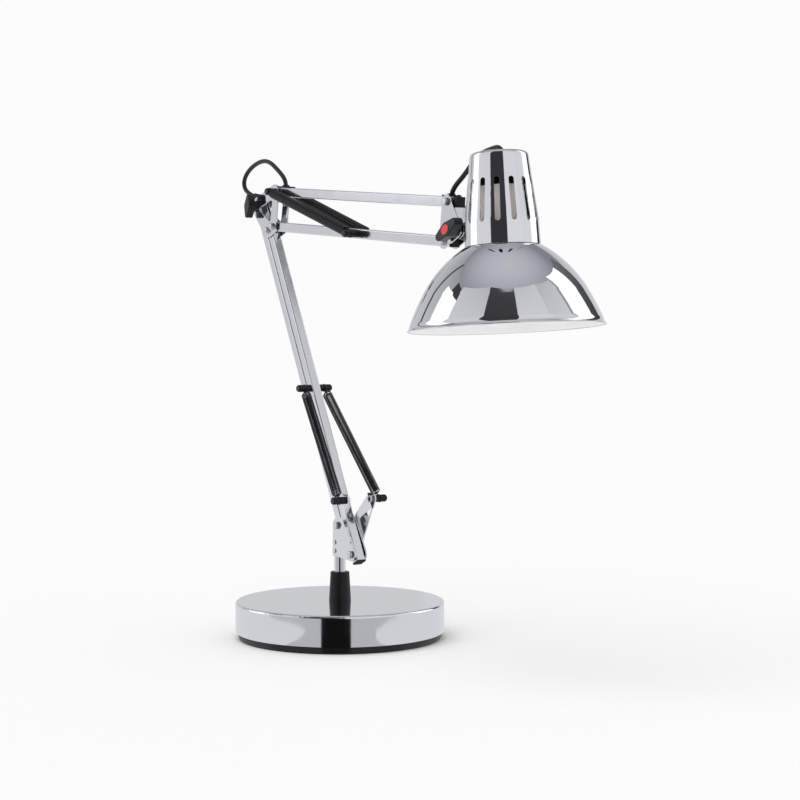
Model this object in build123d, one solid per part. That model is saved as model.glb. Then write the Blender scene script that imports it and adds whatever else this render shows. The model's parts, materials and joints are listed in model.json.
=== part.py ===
from build123d import *
import os
from math import atan2, cos, degrees, hypot, pi, radians, sin, tan

# Balanced-arm desk lamp, millimetres. The arms move in the XZ plane and reach towards +X.
# The origin is the middle of the underside of the foot. Points of the arm plane are (x, z) pairs.

os.makedirs("parts", exist_ok=True)

# ---- clearances ----
RUN = 0.05            # radial play of a bolt or post in a hole that turns on it
FACE_PLAY = 0.15      # side play between a tube and the washer beside it
SLIP = 0.1            # radial play of loose fits within one body
GAP = 0.3             # bodies that pass each other

# ---- base ----
BASE_RADIUS = 108.4
FOOT_HEIGHT = 7.5
FOOT_INSET = 1.5      # the foot is this much smaller than the drum where they meet
FOOT_TAPER = 2.5      # and this much smaller again at the floor
COVER_HEIGHT = 31.0
COVER_EDGE_RADIUS = 2.5
COVER_WALL = 1.2
WEIGHT_THICKNESS = 15.0
WEIGHT_GAP = 9.2       # between the weight and the cover's wall
FOOT_FLOOR = 3.0      # thickness of the foot's floor

# ---- socket and post ----
POST_RADIUS = 6.0
SLEEVE_HEIGHT = 30.0
SLEEVE_LOW_RADIUS = 11.4
SLEEVE_TOP_RADIUS = 9.8
TAIL_RADIUS = 9.0
NUT_FLATS = 26.0
NUT_HEIGHT = 5.0
BUSH_WALL = 1.2
SOCKET_FLOOR = 2.0

# ---- arms ----
TUBE = 10.0
TUBE_WALL = 1.0
TUBE_CORNER = 1.2
TUBE_OVERHANG = 8.0   # tube beyond its end bolt
LOWER_LENGTH = 378.0
UPPER_LENGTH = 330.0
LOWER_LEAN = 27.3     # degrees back from upright
UPPER_SLOPE = 4.46    # degrees below level
LOWER_SPACING = 11.2  # between the two lower tubes' centre lines
LOWER_STAGGER = 36.8  # rear bolt ahead of the front bolt, along the tubes
UPPER_RISE = 37.2     # upper tube's bolt above the lower tube's bolt
UPPER_STEP = 5.0      # and in front of it
ELBOW_STEP = 11.0     # from the front lower tube's top bolt to the upper arm's lower bolt
ELBOW_RISE = 4.0

# ---- sheet brackets and bolts ----
SHEET = 1.5
WASHER = 0.8
WASHER_RADIUS = 4.6
BOLT_RADIUS = 2.0
HEAD_RADIUS = 3.9
HEAD_HEIGHT = 2.4
BORDER = 8.0          # sheet round a bolt's centre

# ---- springs ----
SPRING_RADIUS = 5.2
SPRING_WIRE = 1.5
BUSH_RADIUS = 3.8
BUSH_LENGTH = 14.0
BUSH_GROOVE = 0.9
ROOT_BUSH_LENGTH = 9.5     # the shorter bushes at the elbow
ROOT_BUSH_EYE = 6.0        # their groove's middle from the plate
LOWER_PIN_REACH = 188.0    # from the front tube's lower bolt to the spring pin
UPPER_PIN_REACH = 169.0
ANCHOR_RISE = 56.3         # spring anchor above the front tube's lower bolt
ANCHOR_STEP = 3.6
EAR_Y = 15.5               # inner face of the ear that holds the anchor
HOOK_STEM = 10.0           # from the middle of a spring's eye to its coils
STEM_IN_COIL = 8.0

# ---- head ----
HEAD_TILT = 4.5            # degrees, the shade's mouth outwards
TILT_STEP = 21.8           # head pivot from the upper arm's lower end bolt
TILT_RISE = 10.2
TILT_LIFT = 17.2           # head pivot above the shade's top
CUP_STANDOFF = 27.74       # cup's foot ahead of the head pivot
STRAP_HEIGHT = 28.0        # hinge strap on the cup's side
STRAP_BACK = 1.2           # its middle behind the cup's foot
RIM_RADIUS = 91.0
SHADE_WALL = 1.0
SHADE_HEIGHT = 75.0
SHADE_BULGE = (0.4657, 0.7093)     # points of the dome: share of the way out to the rim,
SHADE_SHOULDER = (0.7455, 0.4053)  # share of the height
SHADE_SKIRT = (0.8736, 0.2133)
HEM_IN = 2.8               # where the lip starts: in from the rim, and up
HEM_UP = 6.0
LIP_IN = 1.8
LIP_UP = 3.0
RIM_UP = 0.8               # rolled edge above the mouth's plane
CUP_FOOT_RADIUS = 34.6
CUP_TOP_RADIUS = 26.6
CUP_HEIGHT = 85.0
CUP_WALL = 1.0
SLOT_COUNT = 14
SLOT_WIDTH = 5.0
SLOT_LOW = 20.0            # slot ends above the cup's lower edge
SLOT_HIGH = 60.0
SLOT_START = 9.2           # degrees round the cup
HOLDER_RADIUS = 21.0
HOLDER_LENGTH = 55.0
HOLDER_ROOF = 11.0         # moulding above the socket
HOLDER_CAP = 25.0          # tapered cap on the moulding
HOLDER_CAP_RADIUS = 13.0
COLLAR_RIM = 6.0           # shade ring beyond the holder
COLLAR_HEIGHT = 4.0
NECK_LENGTH = 6.0          # threaded neck through the shade's hole
NECK_RADIUS = 17.8
CONTACT_HEIGHT = 3.0
THREAD_RADIUS = 13.6       # bore for a 27 mm lamp cap
SHELL_LENGTH = 36.0
CABLE_RADIUS = 2.4

# ---- leads and grommets ----
LEAD_PLAY = 0.3            # round a lead in its grommet
GROMMET_WALL = 1.5
FLANGE_HEIGHT = 1.4        # flat flange on the upper tube's top
FLANGE_WIDTH = 8.6
COLLAR_UP = 1.4            # collar above the flange
ROOT_FLANGE = 28.0         # flange lengths at the elbow and at the head
END_FLANGE = 22.0
ROOT_INLET = 12.0          # lead's hole ahead of the upper arm's first bolt
END_INLET = 2.6            # and behind its last bolt
SPOUT_TURN = 50.0          # degrees that the rear tube's lead leans back from the tube
SPOUT_LENGTH = 9.0
SPOUT_BORE = 5.0
LEAD_IN_SPOUT = 3.0
INLET_AHEAD = 6.0          # lead's hole in the cup, ahead of its middle
# Steps (x, z) of each lead's route from its start, then from its end.
LOOP_BACK = ((-22.0, 5.0), (-31.0, 17.5), (-19.5, 30.0), (4.5, 38.5))
LOOP_OVER = ((-38.5, 32.5), (-16.5, 20.5), (0.6, 8.3))
LEAD_OUT = ((0.6, 7.1), (22.5, 20.5), (42.0, 36.2))
LEAD_OVER = ((-24.1, 10.3), (-1.0, 13.1))
LEAD_IN_CAP = 1.5          # the lead's end below the lampholder cap's top

# ---- knobs ----
ELBOW_WING = 26.0
ELBOW_KNOB_DEPTH = 11.0
HEAD_WING = 36.0
HEAD_KNOB_DEPTH = 13.0
HEAD_WING_ANGLE = 28.0
INLAY_LONG = 6.0           # half sizes of the oval inlay
INLAY_WIDE = 4.4

# ---- lower bracket ----
POST_REACH = 21.7          # front tube's lower bolt above the sleeve
POST_STEP = 34.2           # and ahead of the post
TONGUE_RISE = 16.5         # flat-sided tongue above the sleeve
TONGUE_X = 4.5
RIVET_RADIUS = 1.6
RIVET_HEAD = 2.6
RIVET_X = 1.6
RIVET_RISES = (22.0, 31.0)
FOLD_LOW = (-0.9, 9.7)     # ends of the ear's fold, from the front tube's lower bolt
FOLD_HIGH = (-17.4, 35.7)
EAR_DROP = 5.0             # ear's flat below its bolt, square to the fold
EAR_RADIUS = 6.0
EAR_HALF = 7.5             # half the flat's width along the fold

# ---- places that follow ----
BASE_TOP = FOOT_HEIGHT + COVER_HEIGHT
SLEEVE_TOP = BASE_TOP + SLEEVE_HEIGHT
PLATE_IN = TUBE / 2 + FACE_PLAY + WASHER
PLATE_OUT = PLATE_IN + SHEET
lower_dir = (-sin(radians(LOWER_LEAN)), cos(radians(LOWER_LEAN)))
lower_side = (-lower_dir[1], lower_dir[0])
upper_dir = (cos(radians(UPPER_SLOPE)), -sin(radians(UPPER_SLOPE)))


def along(point, direction, distance):
    """The (x, z) point at a distance from another in a direction."""
    return (point[0] + direction[0] * distance, point[1] + direction[1] * distance)


FRONT_FOOT = (POST_STEP, SLEEVE_TOP + POST_REACH)
REAR_FOOT = along(along(FRONT_FOOT, lower_dir, LOWER_STAGGER), lower_side, LOWER_SPACING)
FRONT_TOP = along(FRONT_FOOT, lower_dir, LOWER_LENGTH)
REAR_TOP = along(REAR_FOOT, lower_dir, LOWER_LENGTH)
ANCHOR = (FRONT_FOOT[0] + ANCHOR_STEP, FRONT_FOOT[1] + ANCHOR_RISE)
LOWER_PIN = along(FRONT_FOOT, lower_dir, LOWER_PIN_REACH)
LOW_ROOT = (FRONT_TOP[0] + ELBOW_STEP, FRONT_TOP[1] + ELBOW_RISE)
HIGH_ROOT = (LOW_ROOT[0] + UPPER_STEP, LOW_ROOT[1] + UPPER_RISE)
LOW_END = along(LOW_ROOT, upper_dir, UPPER_LENGTH)
HIGH_END = along(HIGH_ROOT, upper_dir, UPPER_LENGTH)
UPPER_PIN = along(LOW_ROOT, upper_dir, UPPER_PIN_REACH)
TILT = (LOW_END[0] + TILT_STEP, LOW_END[1] + TILT_RISE)
RIM_X = TILT[0] + CUP_STANDOFF + CUP_FOOT_RADIUS + (SHADE_HEIGHT + TILT_LIFT) * tan(radians(HEAD_TILT))
RIM_Z = TILT[1] - SHADE_HEIGHT - TILT_LIFT
CUP_LOW = SHADE_HEIGHT + 0.8
SOCKET_TOP = SHADE_HEIGHT + HOLDER_LENGTH - HOLDER_ROOF
SHELL_MID = SOCKET_TOP - CONTACT_HEIGHT - 1.0 - SHELL_LENGTH / 2
ANCHOR_Y = EAR_Y + SHEET + BUSH_LENGTH / 2
PIN_EYE_Y = TUBE / 2 + BUSH_LENGTH / 2
ROOT_EYE_Y = PLATE_OUT + ROOT_BUSH_EYE
RIVET_LEVELS = tuple(SLEEVE_TOP + rise for rise in RIVET_RISES)


# ---- helpers ----
def save(shape, node):
    """Writes one node's solids."""
    export_step(shape, f"parts/{node}.step")


def group(*shapes):
    """Separate solids kept together in one node."""
    return Compound(children=[s for shape in shapes for s in shape.solids()])


def mirrored(shape):
    """The same piece on the other side of the arm plane."""
    return mirror(shape, about=Plane.XZ)


def rod(point, y_low, y_high, radius):
    """A round bar across the arm plane."""
    turned = Rot(90, 0, 0) * Cylinder(radius, y_high - y_low)
    return Pos(point[0], (y_low + y_high) / 2, point[1]) * turned


def ring(point, y_low, y_high, outer, inner):
    """A round bar across the arm plane with a hole through it."""
    return rod(point, y_low, y_high, outer) - rod(point, y_low - 1, y_high + 1, inner)


def slab(sketch, y_low, y_high):
    """A sketch in (x, z) made solid between two planes across the arm plane."""
    return extrude(Plane.XZ.offset(-y_high) * sketch, amount=y_high - y_low)


def outline(circles):
    """The sheet stretched tightly round circles given as (x, z, radius)."""
    edges = [(Pos(x, z) * Circle(radius)).edge() for x, z, radius in circles]
    return make_hull(edges)


def aim(start, end):
    """Degrees that a line in the arm plane rises above +X."""
    return degrees(atan2(end[1] - start[1], end[0] - start[0]))


def placed(start, end):
    """Turns +X onto the line from start to end and moves the origin to start."""
    return Pos(start[0], 0, start[1]) * Rot(0, -aim(start, end), 0)


def square_tube(start, end, start_over=TUBE_OVERHANG, end_over=TUBE_OVERHANG):
    """A square tube with a bolt hole near each end; an end no longer than half its width is round."""
    span = hypot(end[0] - start[0], end[1] - start[1])
    length = span + start_over + end_over
    outer = Box(length, TUBE, TUBE)
    outer = fillet(outer.edges().filter_by(Axis.X), TUBE_CORNER)
    inner = Box(length + 2, TUBE - 2 * TUBE_WALL, TUBE - 2 * TUBE_WALL)
    tube = placed(start, end) * Pos((span + end_over - start_over) / 2, 0, 0) * (outer - inner)
    for point, over, side in ((start, start_over, -1), (end, end_over, 1)):
        if over <= TUBE / 2:
            corner_block = Pos(side * TUBE / 2, 0, 0) * Box(TUBE, 2 * TUBE, 2 * TUBE)
            turned = Pos(point[0], 0, point[1]) * Rot(0, -aim(start, end), 0) * corner_block
            tube -= turned - rod(point, -2 * TUBE, 2 * TUBE, TUBE / 2)
        tube -= rod(point, -TUBE, TUBE, BOLT_RADIUS + RUN)
    return tube


def tube_plug(start, end, bulge=0.0):
    """A moulded plug in the tube's end that lies beyond end."""
    span = hypot(end[0] - start[0], end[1] - start[1])
    bore = TUBE - 2 * TUBE_WALL - 2 * SLIP
    depth = TUBE_OVERHANG - BOLT_RADIUS - 2
    cap_length = 2.0 + bulge
    cap = Pos(cap_length / 2, 0, 0) * Box(cap_length, TUBE, TUBE)
    cap = fillet(cap.faces().sort_by(Axis.X)[-1].edges(), 0.8)
    stub = Pos(-depth / 2, 0, 0) * Box(depth, bore, bore)
    return placed(start, end) * Pos(span + TUBE_OVERHANG, 0, 0) * (cap + stub)


def dome_head(point, y_face, side):
    """A low domed head seated on the sheet face at y_face, on the side of that sign."""
    y_top = y_face + side * HEAD_HEIGHT
    head = rod(point, min(y_face, y_top), max(y_face, y_top), HEAD_RADIUS)
    crown = head.edges().filter_by(GeomType.CIRCLE).sort_by(Axis.Y)
    return fillet(crown[-1] if side > 0 else crown[0], HEAD_HEIGHT * 0.7)


def through_bolt(point, y_far):
    """A bolt with its domed head at +Y, ending at y_far beyond the front sheet."""
    return rod(point, y_far, PLATE_OUT, BOLT_RADIUS) + dome_head(point, PLATE_OUT, 1)


def cap_nut(point):
    """A domed nut on the front sheet, over the bolt's end."""
    hexagon = slab(Pos(*point) * RegularPolygon(HEAD_RADIUS + 0.3, 6), -PLATE_OUT - 1.4, -PLATE_OUT)
    nut = hexagon + dome_head(point, -PLATE_OUT - 1.0, -1)
    return nut - rod(point, -PLATE_OUT - 2.0 - SLIP, -PLATE_OUT + 1, BOLT_RADIUS + SLIP)


def washers(points):
    """A washer on each side of the tube at every point."""
    both = []
    for point in points:
        washer = ring(point, -PLATE_IN, -PLATE_IN + WASHER, WASHER_RADIUS, BOLT_RADIUS + SLIP)
        both += [washer, mirrored(washer)]
    return group(*both)


def spring_bush(point, y_face, length=BUSH_LENGTH, groove=BUSH_LENGTH / 2):
    """A bush standing on the face at y_face towards -Y, with a groove for a spring's eye."""
    middle = y_face - groove
    half = SPRING_WIRE / 2 + 2 * SLIP
    bush = rod(point, y_face - length, y_face, BUSH_RADIUS)
    bush -= ring(point, middle - half, middle + half, BUSH_RADIUS + 1, BUSH_RADIUS - BUSH_GROOVE)
    return bush - rod(point, y_face - length - 1, y_face + 1, BOLT_RADIUS + SLIP)


def eye(point, y):
    """A spring's end ring round a bush groove."""
    radius = BUSH_RADIUS - BUSH_GROOVE + SLIP + SPRING_WIRE / 2
    return Pos(point[0], y, point[1]) * Rot(90, 0, 0) * Torus(radius, SPRING_WIRE / 2)


def stem(point, y, direction, start, end):
    """The straight wire between a spring's eye and its coils."""
    wire = Pos(0, 0, (start + end) / 2) * Cylinder(SPRING_WIRE / 2, end - start)
    return Plane(origin=(point[0], y, point[1]), z_dir=direction) * wire


def coil_barrel(point, y, direction, start, end):
    """The closed coils of a spring as a tube with tapered ends."""
    taper = SPRING_RADIUS - SPRING_WIRE
    profile = make_face(
        Polyline(
            (SPRING_RADIUS - SPRING_WIRE, start + taper / 2),
            (SPRING_WIRE, start),
            (SPRING_WIRE * 2, start),
            (SPRING_RADIUS, start + taper / 2),
            (SPRING_RADIUS, end - taper / 2),
            (SPRING_WIRE * 2, end),
            (SPRING_WIRE, end),
            (SPRING_RADIUS - SPRING_WIRE, end - taper / 2),
            (SPRING_RADIUS - SPRING_WIRE, start + taper / 2),
        )
    )
    barrel = revolve(Plane.XZ * profile, Axis.Z)
    return Plane(origin=(point[0], y, point[1]), z_dir=direction) * barrel


def wing_knob(point, angle, wing, depth, hub, tip):
    """A moulded two-wing knob on a bolt, its back GAP / 2 clear of the front sheet."""
    reach = wing / 2 - tip
    shift = (reach * cos(radians(angle)), reach * sin(radians(angle)))
    sketch = outline([
        (point[0], point[1], hub),
        (point[0] + shift[0], point[1] + shift[1], tip),
        (point[0] - shift[0], point[1] - shift[1], tip),
    ])
    back = -PLATE_OUT - GAP / 2
    grip = slab(sketch, back - depth, back - depth * 0.3)
    front = grip.faces().sort_by(Axis.Y)[0]
    grip = fillet(front.edges(), 1.2)
    return grip + rod(point, back - depth * 0.5, back, hub)


# ---- base ----
def make_base():
    """Drum cover, weight and foot, with the socket that the post turns in."""
    foot_top = BASE_RADIUS - FOOT_INSET
    foot = Pos(0, 0, FOOT_HEIGHT / 2) * Cone(foot_top - FOOT_TAPER, foot_top, FOOT_HEIGHT)
    foot -= Pos(0, 0, FOOT_FLOOR + FOOT_HEIGHT / 2) * Cylinder(foot_top - FOOT_TAPER - 2, FOOT_HEIGHT)
    save(foot, "base_foot")

    cover = Pos(0, 0, FOOT_HEIGHT + COVER_HEIGHT / 2) * Cylinder(BASE_RADIUS, COVER_HEIGHT)
    top_edge = cover.edges().filter_by(GeomType.CIRCLE).sort_by(Axis.Z)[-1]
    cover = fillet(top_edge, COVER_EDGE_RADIUS)
    hollow_height = COVER_HEIGHT - COVER_WALL
    hollow = Pos(0, 0, FOOT_HEIGHT + hollow_height / 2) * Cylinder(BASE_RADIUS - COVER_WALL, hollow_height)
    rim = hollow.edges().filter_by(GeomType.CIRCLE).sort_by(Axis.Z)[-1]
    cover -= fillet(rim, COVER_EDGE_RADIUS - COVER_WALL / 2)
    cover -= Pos(0, 0, BASE_TOP) * Cylinder(TAIL_RADIUS + SLIP, 3 * COVER_WALL)
    save(cover, "base_cover")

    weight_top = BASE_TOP - COVER_WALL
    weight_radius = BASE_RADIUS - COVER_WALL - WEIGHT_GAP
    weight = Cylinder(weight_radius, WEIGHT_THICKNESS) - Cylinder(TAIL_RADIUS + SLIP, WEIGHT_THICKNESS + 2)
    weight = chamfer(weight.edges().filter_by(GeomType.CIRCLE).group_by(SortBy.RADIUS)[-1], 1.5)
    save(Pos(0, 0, weight_top - WEIGHT_THICKNESS / 2) * weight, "base_weight")

    nut_top = weight_top - WEIGHT_THICKNESS
    tail_end = nut_top - NUT_HEIGHT - 1.0
    tail_length = BASE_TOP - tail_end
    sleeve = Cone(SLEEVE_LOW_RADIUS, SLEEVE_TOP_RADIUS, SLEEVE_HEIGHT)
    sleeve = Pos(0, 0, BASE_TOP + SLEEVE_HEIGHT / 2) * sleeve
    sleeve = fillet(sleeve.edges().sort_by(Axis.Z)[-1], 0.8)
    sleeve += Pos(0, 0, tail_end + tail_length / 2) * Cylinder(TAIL_RADIUS, tail_length)
    bore_radius = POST_RADIUS + RUN + BUSH_WALL + SLIP
    bore_depth = SLEEVE_TOP - tail_end - SOCKET_FLOOR
    sleeve -= Pos(0, 0, SLEEVE_TOP - bore_depth / 2) * Cylinder(bore_radius, bore_depth)
    save(sleeve, "socket_sleeve")

    bush_length = bore_depth
    bush = Cylinder(POST_RADIUS + RUN + BUSH_WALL, bush_length) - Cylinder(POST_RADIUS + RUN, bush_length + 2)
    save(Pos(0, 0, SLEEVE_TOP - bush_length / 2) * bush, "socket_bush")

    nut = extrude(RegularPolygon(NUT_FLATS / 2, 6, major_radius=False), NUT_HEIGHT)
    nut -= Pos(0, 0, NUT_HEIGHT / 2) * Cylinder(TAIL_RADIUS + SLIP, NUT_HEIGHT + 2)
    save(Pos(0, 0, nut_top - NUT_HEIGHT) * nut, "socket_nut")
    return tail_end + SOCKET_FLOOR


# ---- swivel ----
def make_post(floor):
    """The turned post: a round spigot with a flat-sided tongue between the plates."""
    tongue_low = SLEEVE_TOP + TONGUE_RISE
    tongue_top = RIVET_LEVELS[1] + 4.0
    low = floor + GAP
    spigot = Pos(0, 0, (low + tongue_low) / 2) * Cylinder(POST_RADIUS, tongue_low - low)
    spigot = chamfer(spigot.edges().sort_by(Axis.Z)[0], 0.8)
    height = tongue_top - tongue_low
    tongue = Pos(0, 0, (tongue_low + tongue_top) / 2) * Box(2 * TONGUE_X, 2 * PLATE_IN, height)
    post = spigot + tongue
    for level in RIVET_LEVELS:
        post -= rod((RIVET_X, level), -PLATE_OUT, PLATE_OUT, RIVET_RADIUS + SLIP)
    save(post, "post")
    rivets = []
    for level in RIVET_LEVELS:
        shank = rod((RIVET_X, level), -PLATE_OUT - 0.8, PLATE_OUT + 0.8, RIVET_RADIUS)
        front = rod((RIVET_X, level), -PLATE_OUT - 0.8, -PLATE_OUT, RIVET_HEAD)
        rivets.append(shank + front + mirrored(front))
    save(group(*rivets), "post_rivets")


def lower_plate():
    """The front half of the lower bracket: a pressed plate with an ear bent out for the springs."""
    sheet = outline([
        (RIVET_X - 1, RIVET_LEVELS[0] - 2, 3),
        (FRONT_FOOT[0], FRONT_FOOT[1], BORDER - 1),
        (REAR_FOOT[0] - 2, REAR_FOOT[1], BORDER - 1),
        (REAR_FOOT[0] + 8, REAR_FOOT[1] + 2, BORDER - 1),
    ])
    plate = slab(sheet, -PLATE_OUT, -PLATE_IN)
    low = (FRONT_FOOT[0] + FOLD_LOW[0], FRONT_FOOT[1] + FOLD_LOW[1])
    high = (FRONT_FOOT[0] + FOLD_HIGH[0], FRONT_FOOT[1] + FOLD_HIGH[1])
    span = hypot(high[0] - low[0], high[1] - low[1])
    fold = ((high[0] - low[0]) / span, (high[1] - low[1]) / span)
    away = (fold[1], -fold[0])
    flat = along(ANCHOR, away, -EAR_DROP)
    upper = along(flat, fold, EAR_HALF)
    lower = along(flat, fold, -EAR_HALF)
    corners = [(low, -PLATE_OUT), (high, -PLATE_OUT), (upper, -EAR_Y - SHEET), (lower, -EAR_Y - SHEET)]
    side = make_face(Polyline(*[(x, y, z) for (x, z), y in corners], close=True))
    web = extrude(side, amount=SHEET, dir=(0, 1, 0))
    corners = [(*along(point, away, 1.0), SHEET) for point in (upper, lower)]
    tab = slab(outline([(ANCHOR[0], ANCHOR[1], EAR_RADIUS), *corners]), -EAR_Y - SHEET, -EAR_Y)
    plate = plate + web + tab
    for point in (FRONT_FOOT, REAR_FOOT):
        plate -= rod(point, -PLATE_OUT - 1, -PLATE_IN + 1, BOLT_RADIUS + SLIP)
    for level in RIVET_LEVELS:
        plate -= rod((RIVET_X, level), -PLATE_OUT - 1, -PLATE_IN + 1, RIVET_RADIUS + SLIP)
    plate -= rod(ANCHOR, -EAR_Y - SHEET - 1, -EAR_Y + 1, BOLT_RADIUS + SLIP)
    return plate


def make_lower_bracket():
    """Two pressed plates, their pivot bolts and the spring anchors on the ears."""
    plate = lower_plate()
    save(plate, "lower_plate_front")
    save(mirrored(plate), "lower_plate_rear")
    pivots = (FRONT_FOOT, REAR_FOOT)
    save(group(*[through_bolt(point, -PLATE_OUT - 2.0) for point in pivots]), "lower_pivot_bolts")
    save(group(*[cap_nut(point) for point in pivots]), "lower_pivot_nuts")
    save(washers(pivots), "lower_washers")
    outer = -EAR_Y - SHEET - BUSH_LENGTH
    screw = rod(ANCHOR, outer, -EAR_Y + 3.2, BOLT_RADIUS) + rod(ANCHOR, outer - 1.2, outer, 3.0)
    save(group(screw, mirrored(screw)), "anchor_screws")
    nut = slab(Pos(*ANCHOR) * RegularPolygon(HEAD_RADIUS, 6), -EAR_Y, -EAR_Y + 3.0)
    nut -= rod(ANCHOR, -EAR_Y - 1, -EAR_Y + 4, BOLT_RADIUS + SLIP)
    save(group(nut, mirrored(nut)), "anchor_nuts")
    bush = spring_bush(ANCHOR, -EAR_Y - SHEET)
    save(group(bush, mirrored(bush)), "anchor_bushes")


def spring_pin(point, node_pin, node_bushes):
    """The pin across a tube that carries one spring on each side."""
    outer = -TUBE / 2 - FACE_PLAY - BUSH_LENGTH
    pin = rod(point, outer, -outer, BOLT_RADIUS)
    cap = rod(point, outer - 1.2, outer, 3.0)
    save(pin + cap + mirrored(cap), node_pin)
    bush = spring_bush(point, -TUBE / 2)
    save(group(bush, mirrored(bush)), node_bushes)


def flat_grommet(length):
    """A moulded grommet that lies flat on a tube: a long flange with a collar round the lead."""
    flange = Pos(0, 0, FLANGE_HEIGHT / 2) * Box(length, FLANGE_WIDTH, FLANGE_HEIGHT)
    flange = fillet(flange.edges().filter_by(Axis.Z), 2.0)
    low = -TUBE_WALL - 0.5
    high = FLANGE_HEIGHT + COLLAR_UP
    collar = Pos(0, 0, (low + high) / 2) * Cylinder(CABLE_RADIUS + GROMMET_WALL, high - low)
    return flange + collar - Pos(0, 0, (low + high) / 2) * Cylinder(CABLE_RADIUS + LEAD_PLAY, high - low + 2)


def spout_place():
    """Where the rear tube's spout starts and the way (x, z) that it points."""
    turn = radians(90 + LOWER_LEAN + SPOUT_TURN)
    return along(REAR_TOP, lower_dir, TUBE_OVERHANG + 2.5), (cos(turn), sin(turn))


def spout():
    """The plug in the rear tube's upper end, with a spout that leads the cable out backwards."""
    start, way = spout_place()
    body = tube_plug(REAR_FOOT, REAR_TOP, 3.0)
    radius = CABLE_RADIUS + GROMMET_WALL
    axis = Plane(origin=(start[0], 0, start[1]), z_dir=(way[0], 0, way[1]))
    body += axis * Pos(0, 0, SPOUT_LENGTH / 2) * Cylinder(radius, SPOUT_LENGTH)
    bore = SPOUT_LENGTH - SPOUT_BORE + 1
    return body - axis * Pos(0, 0, SPOUT_LENGTH + 1 - bore / 2) * Cylinder(CABLE_RADIUS + LEAD_PLAY, bore)


def make_lower_arm():
    """The two tubes of the lower arm with their plugs and the spring pin."""
    front = square_tube(FRONT_FOOT, FRONT_TOP, end_over=TUBE / 2)
    front -= rod(LOWER_PIN, -TUBE, TUBE, BOLT_RADIUS + SLIP)
    save(front, "lower_tube_front")
    save(square_tube(REAR_FOOT, REAR_TOP), "lower_tube_rear")
    save(tube_plug(FRONT_TOP, FRONT_FOOT), "front_tube_plug")
    save(tube_plug(REAR_TOP, REAR_FOOT), "rear_tube_plug")
    save(spout(), "rear_tube_grommet")
    spring_pin(LOWER_PIN, "lower_spring_pin", "lower_pin_bushes")


# ---- elbow ----
def elbow_plate():
    """The front elbow plate: a rounded triangle with a window."""
    corners = [REAR_TOP, HIGH_ROOT, LOW_ROOT, FRONT_TOP]
    sheet = outline([(x, z, BORDER) for x, z in corners])
    middle = (sum(x for x, z in corners) / 4, sum(z for x, z in corners) / 4)
    inner = []
    for (x, z), share in ((REAR_TOP, 0.58), (HIGH_ROOT, 0.52), (LOW_ROOT, 0.42)):
        inner.append((middle[0] + (x - middle[0]) * share, middle[1] + (z - middle[1]) * share, 2.4))
    plate = slab(sheet, -PLATE_OUT, -PLATE_IN) - slab(outline(inner), -PLATE_OUT - 1, -PLATE_IN + 1)
    for point in corners:
        plate -= rod(point, -PLATE_OUT - 1, -PLATE_IN + 1, BOLT_RADIUS + SLIP)
    return plate


def make_elbow():
    """Two plates held by four bolts, with bushes for the upper springs."""
    plate = elbow_plate()
    save(plate, "elbow_plate_front")
    save(mirrored(plate), "elbow_plate_rear")
    outer = -PLATE_OUT - ROOT_BUSH_LENGTH
    anchor = rod(HIGH_ROOT, outer, -outer, BOLT_RADIUS)
    cap = rod(HIGH_ROOT, outer - 1.2, outer, 3.0)
    anchor = anchor + cap + mirrored(cap)
    knob_bolt = through_bolt(REAR_TOP, -PLATE_OUT - ELBOW_KNOB_DEPTH * 0.6)
    plain = [through_bolt(point, -PLATE_OUT - 2.0) for point in (FRONT_TOP, LOW_ROOT)]
    save(group(anchor, knob_bolt, *plain), "elbow_bolts")
    save(group(cap_nut(FRONT_TOP), cap_nut(LOW_ROOT)), "elbow_nuts")
    save(washers((REAR_TOP, HIGH_ROOT, LOW_ROOT, FRONT_TOP)), "elbow_washers")
    bush = spring_bush(HIGH_ROOT, -PLATE_OUT, ROOT_BUSH_LENGTH, ROOT_BUSH_EYE)
    save(group(bush, mirrored(bush)), "elbow_bushes")
    knob = wing_knob(REAR_TOP, 80.0, ELBOW_WING, ELBOW_KNOB_DEPTH, 6.0, 2.6)
    knob -= rod(REAR_TOP, -PLATE_OUT - ELBOW_KNOB_DEPTH * 0.6 - GAP, 0, BOLT_RADIUS + RUN)
    save(knob, "elbow_knob")


# ---- upper arm ----
def make_upper_arm():
    """The two tubes of the upper arm with their plugs and the spring pin."""
    low = square_tube(LOW_ROOT, LOW_END, start_over=TUBE / 2)
    low -= rod(UPPER_PIN, -TUBE, TUBE, BOLT_RADIUS + SLIP)
    save(low, "upper_tube_low")
    high = square_tube(HIGH_ROOT, HIGH_END)
    grommets = []
    for base, length in ((along(HIGH_ROOT, upper_dir, ROOT_INLET), ROOT_FLANGE),
                         (along(HIGH_END, upper_dir, -END_INLET), END_FLANGE)):
        at = Pos(base[0], 0, base[1]) * Rot(0, UPPER_SLOPE, 0)
        high -= at * Pos(0, 0, TUBE / 2) * Cylinder(CABLE_RADIUS + GROMMET_WALL + SLIP, TUBE / 2)
        grommets.append(at * Pos(0, 0, TUBE / 2) * flat_grommet(length))
    save(high, "upper_tube_high")
    save(group(*grommets), "high_tube_grommets")
    save(tube_plug(LOW_ROOT, LOW_END), "low_tube_plug")
    save(group(tube_plug(HIGH_END, HIGH_ROOT), tube_plug(HIGH_ROOT, HIGH_END, 4.0)), "high_tube_plugs")
    spring_pin(UPPER_PIN, "upper_spring_pin", "upper_pin_bushes")


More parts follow.
